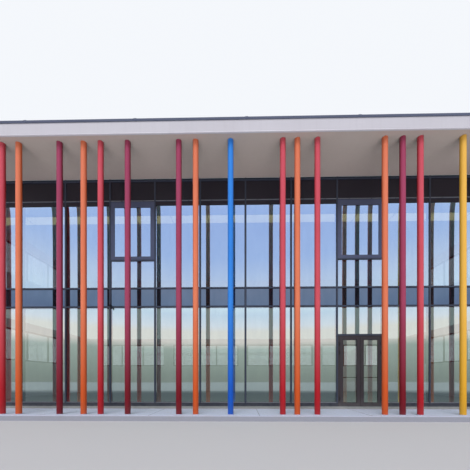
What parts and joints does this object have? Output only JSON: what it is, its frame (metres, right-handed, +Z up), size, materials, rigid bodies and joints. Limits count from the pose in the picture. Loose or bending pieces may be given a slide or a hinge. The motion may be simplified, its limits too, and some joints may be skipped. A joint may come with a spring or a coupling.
{
  "type": "school building",
  "caption": "two-storey school wing with a glazed aluminium front set back behind coloured round posts under a deep flat roof, with a glazed double door",
  "frame": {"origin": "centre of the footprint at ground level", "axes": "+X to the right along the front, +Y from the front into the building, +Z up"},
  "size_m": [21.77, 12.02, 8.138],
  "materials": {
    "capping_metal": "satin coated sheet",
    "fascia_render": "smooth matt render",
    "wall_render": "fine matt render",
    "blue_paint": "satin coating",
    "crimson_paint": "satin coating",
    "door_metal": "satin coated aluminium",
    "seal_rubber": "black seal",
    "base_metal": "matt coated sheet",
    "cap_metal": "satin coated aluminium",
    "head_panel": "matt dark panel",
    "clear_glass": "coated double glazing",
    "dark_frame": "matt coated aluminium",
    "soffit_render": "smooth matt render",
    "spandrel_glass": "back-painted glass",
    "floor_concrete": "sealed floor screed",
    "rear_glass": "coated double glazing",
    "push_bar_steel": "brushed",
    "orange_paint": "satin coating",
    "red_paint": "satin coating",
    "roof_covering": "matt roofing sheet with grit",
    "roof_concrete": "cast concrete",
    "insulation_board": "coated insulation board",
    "terrace_concrete": "smooth pale concrete",
    "sash_metal": "satin coated aluminium",
    "yellow_paint": "satin coating"
  },
  "bodies": {
    "building": {"back_capping": "capping_metal", "back_fascia": "fascia_render", "back_wall_bands": "wall_render", "back_wall_piers": "wall_render", "blue_posts": "blue_paint", "crimson_posts": "crimson_paint", "door_frame": "door_metal", "door_stops": "seal_rubber", "door_threshold": "base_metal", "end_cappings": "capping_metal", "end_fascias": "fascia_render", "end_wall_bands": "wall_render", "end_wall_piers": "wall_render", "fixed_hinges": "door_metal", "front_base_profile": "base_metal", "front_capping": "capping_metal", "front_caps": "cap_metal", "front_fascia": "fascia_render", "front_head_panels": "head_panel", "front_lower_glass": "clear_glass", "front_mullions": "dark_frame", "front_soffit": "soffit_render", "front_spandrel_glass": "spandrel_glass", "front_transoms": "dark_frame", "front_upper_glass": "clear_glass", "ground_slab": "floor_concrete", "high_window_glass": "rear_glass", "high_window_rails": "dark_frame", "high_window_stiles": "dark_frame", "orange_posts": "orange_paint", "red_posts": "red_paint", "roof_covering": "roof_covering", "roof_slab": "roof_concrete", "sash_glass": "clear_glass", "spandrel_insulation": "insulation_board", "terrace_slab": "terrace_concrete", "upper_floor": "floor_concrete", "window_sashes": "sash_metal", "window_sills": "capping_metal", "yellow_posts": "yellow_paint"},
    "left_door": {"left_door_leaf": "door_metal", "left_door_glass": "clear_glass", "left_push_bar": "push_bar_steel", "left_hinges": "door_metal"},
    "right_door": {"right_door_leaf": "door_metal", "right_door_glass": "clear_glass", "right_push_bar": "push_bar_steel", "right_hinges": "door_metal"}
  },
  "joints": [
    {"name": "left_door_hinge", "type": "hinge", "parent": "building", "child": "left_door", "pos_m": [3.078, -4.286, 0.23], "axis": [0, 0, -1], "range_deg": [0, 95]},
    {"name": "right_door_hinge", "type": "hinge", "parent": "building", "child": "right_door", "pos_m": [4.422, -4.286, 0.23], "axis": [0, 0, 1], "range_deg": [0, 95]}
  ]
}
